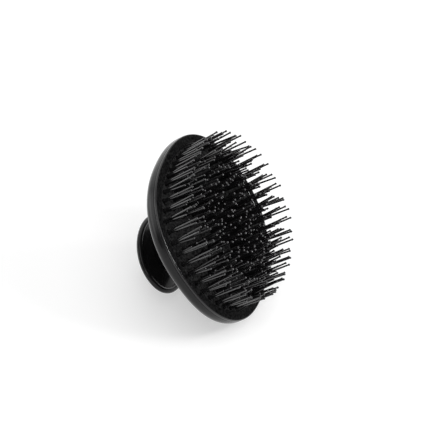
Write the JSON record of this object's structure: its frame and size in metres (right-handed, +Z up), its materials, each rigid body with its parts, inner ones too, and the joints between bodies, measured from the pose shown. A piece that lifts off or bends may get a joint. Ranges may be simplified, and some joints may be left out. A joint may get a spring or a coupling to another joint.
{
  "type": "scalp massager brush",
  "caption": "Oval hand scalp brush lying on its rim and knob: tufts of ball-tipped pins on a flat face, and a flared knob on a short neck behind.",
  "frame": {"origin": "on the ground, under the middle of the lying brush's bounding box", "axes": "+Z up, +X the long way of the oval head, -Y the way the pins point, tipped up by the rest angle"},
  "size_m": [0.098, 0.0712, 0.0742],
  "materials": {
    "shell_plastic": "satin gloss moulded",
    "face_plastic": "fine matte texture",
    "pin_nylon": "smooth nylon",
    "seal_rubber": "matte",
    "screw_steel": "plain"
  },
  "bodies": {
    "root": {"dish_screws": "screw_steel", "face_frame": "face_plastic", "head_shell": "shell_plastic", "knob_cap": "shell_plastic", "knob_dish": "shell_plastic", "neck": "shell_plastic", "neck_screws": "screw_steel", "pin_plate": "face_plastic", "rim_seal": "seal_rubber", "tuft_backing": "face_plastic", "tuft_ring_1": "pin_nylon", "tuft_ring_2": "pin_nylon", "tuft_ring_3": "pin_nylon", "tuft_ring_4": "pin_nylon", "tuft_ring_5": "pin_nylon", "tuft_ring_6": "pin_nylon"}
  },
  "joints": []
}
